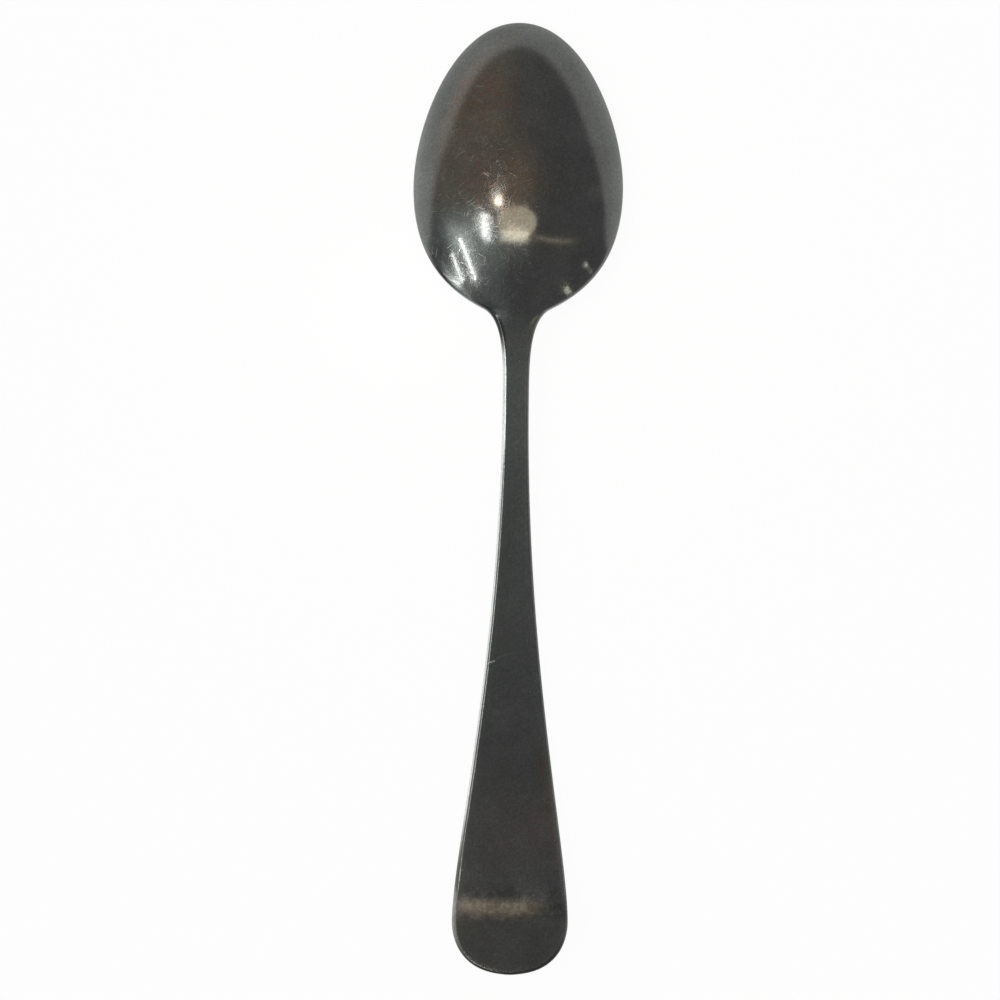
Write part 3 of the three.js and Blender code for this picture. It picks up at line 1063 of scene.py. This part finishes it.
def soft_box(desk, tilts, middle, half, soft, turn, light):
    """Light of one soft box, 0 outside it."""
    right, far = (tilt - centre for tilt, centre in zip(tilts, middle))
    cosine, sine = math.cos(math.radians(turn)), math.sin(math.radians(turn))
    offsets = (right * cosine + far * sine, far * cosine - right * sine)
    sides = []
    for offset, reach, edge in zip(offsets, half, soft):
        sides.append(desk.smooth(abs(offset), reach, reach + edge, 1, 0))
    return desk.scale(light, sides[0] * sides[1])


def far_wall(desk, azimuth, height):
    """Light of the wall round the table, 0 above its top."""
    wall = FAR_WALL
    off = abs(desk.add("ShaderNodeMath", {"operation": "WRAP"}, {0: azimuth - wall.way, 1: 180, 2: -180}))
    top = desk.smooth(off, wall.half, wall.half + wall.fade, wall.top, wall.lowest)
    rightward = desk.math("COSINE", azimuth * math.radians(1))
    light = desk.smooth(height, 0, wall.top, wall.low, wall.high)
    light = light * desk.smooth(rightward, *wall.rightward, 1, wall.right)
    return light * desk.smooth(height - top, *wall.soft, 1, 0)


def add_light(context):
    """Soft light: a dim ceiling, soft boxes in it and close by, and a bright wall low round the table."""
    world = bpy.data.worlds.new("studio")
    world.use_nodes = True
    world.node_tree.nodes.clear()
    desk = Desk(world.node_tree)
    way = desk.add("ShaderNodeSeparateXYZ", None, {0: desk.add("ShaderNodeTexCoord", output="Generated")})
    x, y, z = way, way.other("Y"), way.other("Z")
    degrees = math.degrees(1)
    tilts = [desk.math("ARCTAN2", side, z) * degrees for side in (x, y)]
    azimuth = desk.math("ARCTAN2", y, x) * degrees
    height = desk.math("ARCSINE", z) * degrees
    lit = far_wall(desk, azimuth, height) + context.scene.spoon_light.overhead
    glow = desk.add("ShaderNodeCombineXYZ", None, {"X": lit, "Y": lit, "Z": lit})
    clear = desk.smooth(height, *CLEAR_OF_TABLE)
    for box in SOFT_BOXES.values():
        glow = desk.vector("ADD", glow, desk.scale(soft_box(desk, tilts, *box), clear))
    backdrop = desk.add("ShaderNodeBackground", None, {"Color": glow, "Strength": 1})
    desk.add("ShaderNodeOutputWorld", None, {"Surface": backdrop})
    context.scene.world = world
    add_near_boxes(context)
    add_warm_glow(context)


def area_lamp(context, name, shape, place, size, tint):
    """A flat lamp that faces down and isn't seen itself. Gives its object and its area."""
    lamp = bpy.data.lights.new(name, "AREA")
    lamp.shape = shape
    lamp.size, lamp.size_y = (side * MM for side in size)
    lamp.color = tint
    holder = bpy.data.objects.new(name, lamp)
    holder.location = Vector(place) * MM
    holder.visible_camera = False
    context.scene.collection.objects.link(holder)
    return holder, lamp.size * lamp.size_y * (math.pi / 4 if shape == "ELLIPSE" else 1)


def add_near_boxes(context):
    """Small soft boxes close to the spoon, each seen in one place of it."""
    for name, (shape, place, size, turn, tint, radiance) in NEAR_BOXES.items():
        box, area = area_lamp(context, name, shape, place, size, tint)
        box.rotation_euler = (0, 0, math.radians(turn))
        box.data.energy = radiance * math.pi * area


def add_warm_glow(context):
    """A wide lamp over the bowl. Its light falls off to the sides of its axis, so its edges aren't seen."""
    wide = WARM_GLOW
    glow, area = area_lamp(context, "warm_glow", "RECTANGLE", wide.place, wide.size, wide.tint)
    glow.rotation_euler = (math.radians(-wide.tilt), 0, 0)
    half_spread = math.radians(wide.half_spread)
    glow.data.spread = half_spread * 2
    narrowing = math.tan(half_spread) / (math.tan(half_spread) - half_spread)
    glow.data.energy = wide.radiance * math.pi * area / narrowing


def add_camera(context):
    """A camera straight above the spoon, with the bowl at the top of the picture."""
    camera = bpy.data.objects.new("camera", bpy.data.cameras.new("camera"))
    camera.data.lens = CAMERA_LENS
    camera.data.clip_start = CAMERA_NEAREST
    camera.location = (*CAMERA_PLACE, context.scene.spoon_light.camera_height)
    camera.rotation_euler = (0, 0, CAMERA_TURN)
    context.scene.collection.objects.link(camera)
    context.scene.camera = camera


class SPOON_PT_sidebar(Panel):
    """Steps and settings of the spoon"""

    bl_label = "Dessert Spoon"
    bl_space_type = "VIEW_3D"
    bl_region_type = "UI"
    bl_category = "Spoon"

    def draw(self, context):
        for step in STEPS:
            self.layout.operator(step.bl_idname)
        for group in (context.scene.spoon_sizes, context.scene.spoon_finish, context.scene.spoon_light):
            box = self.layout.box()
            for key in type(group).__annotations__:
                box.prop(group, key)


STEPS = (SPOON_OT_add_stage, SPOON_OT_add_bowl, SPOON_OT_add_handle, SPOON_OT_add_braze)
GROUPS = {"spoon_sizes": SpoonSizes, "spoon_finish": SpoonFinish, "spoon_light": StudioLight}


def register():
    for cls in (*GROUPS.values(), *STEPS, SPOON_PT_sidebar):
        bpy.utils.register_class(cls)
    for name, group in GROUPS.items():
        setattr(bpy.types.Scene, name, PointerProperty(type=group))


def unregister():
    for name in GROUPS:
        delattr(bpy.types.Scene, name)
    for cls in (SPOON_PT_sidebar, *STEPS, *GROUPS.values()):
        bpy.utils.unregister_class(cls)


def main():
    register()
    bpy.ops.spoon.add_stage()
    bpy.ops.spoon.add_bowl()
    bpy.ops.spoon.add_handle()
    bpy.ops.spoon.add_braze()


if __name__ == "__main__":
    main()
